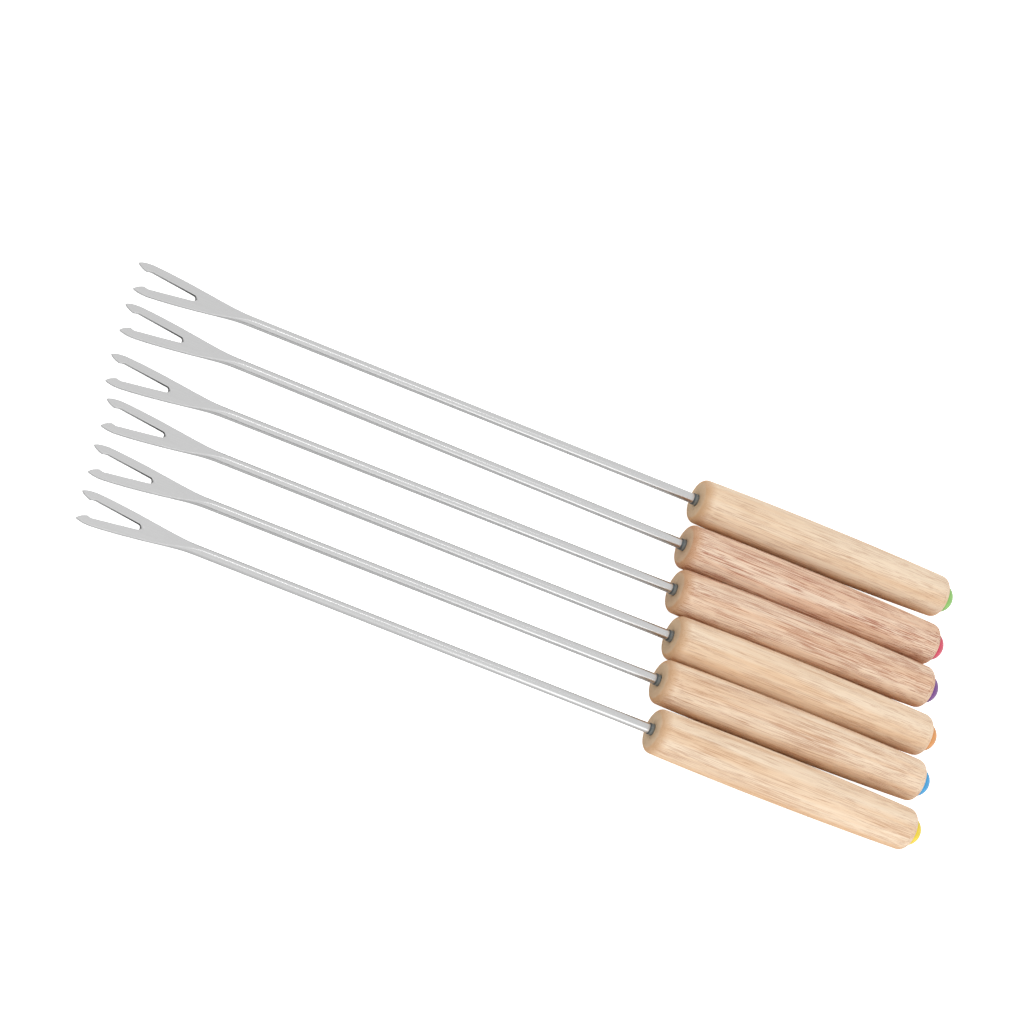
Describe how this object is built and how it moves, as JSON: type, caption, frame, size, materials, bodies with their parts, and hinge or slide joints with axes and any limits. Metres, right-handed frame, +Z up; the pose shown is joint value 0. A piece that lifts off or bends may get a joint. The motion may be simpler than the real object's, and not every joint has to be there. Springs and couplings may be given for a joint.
{
  "type": "marshmallow roasting fork set",
  "caption": "Short two-tined steel roasting forks laid side by side, each with a turned wooden handle, a dark ferrule and a coloured end button.",
  "frame": {"origin": "centre of the set's footprint, on the table that the forks rest on", "axes": "+X from the tine tips to the handle ends, +Y across the row towards the green fork, +Z up"},
  "size_m": [0.2422, 0.0791, 0.014],
  "materials": {
    "steel": "polished rod, satin head",
    "ferrule": "dark grey, satin",
    "wood": "turned and sanded, unvarnished, fine pores along the handle",
    "green_plastic": "glossy moulded",
    "red_plastic": "glossy moulded",
    "purple_plastic": "glossy moulded",
    "orange_plastic": "glossy moulded",
    "blue_plastic": "glossy moulded",
    "yellow_plastic": "glossy moulded"
  },
  "bodies": {
    "green_fork": {"green_rod": "steel", "green_ferrule": "ferrule", "green_handle": "wood", "green_button": "green_plastic"},
    "red_fork": {"red_rod": "steel", "red_ferrule": "ferrule", "red_handle": "wood", "red_button": "red_plastic"},
    "purple_fork": {"purple_rod": "steel", "purple_ferrule": "ferrule", "purple_handle": "wood", "purple_button": "purple_plastic"},
    "orange_fork": {"orange_rod": "steel", "orange_ferrule": "ferrule", "orange_handle": "wood", "orange_button": "orange_plastic"},
    "blue_fork": {"blue_rod": "steel", "blue_ferrule": "ferrule", "blue_handle": "wood", "blue_button": "blue_plastic"},
    "yellow_fork": {"yellow_rod": "steel", "yellow_ferrule": "ferrule", "yellow_handle": "wood", "yellow_button": "yellow_plastic"}
  },
  "joints": [
    {"name": "green_fork_lift", "type": "slide", "parent": "purple_fork", "child": "green_fork", "axis": [0, 0, 1], "range_m": [0, 0.06]},
    {"name": "red_fork_lift", "type": "slide", "parent": "purple_fork", "child": "red_fork", "axis": [0, 0, 1], "range_m": [0, 0.06]},
    {"name": "orange_fork_lift", "type": "slide", "parent": "purple_fork", "child": "orange_fork", "axis": [0, 0, 1], "range_m": [0, 0.06]},
    {"name": "blue_fork_lift", "type": "slide", "parent": "purple_fork", "child": "blue_fork", "axis": [0, 0, 1], "range_m": [0, 0.06]},
    {"name": "yellow_fork_lift", "type": "slide", "parent": "purple_fork", "child": "yellow_fork", "axis": [0, 0, 1], "range_m": [0, 0.06]}
  ]
}
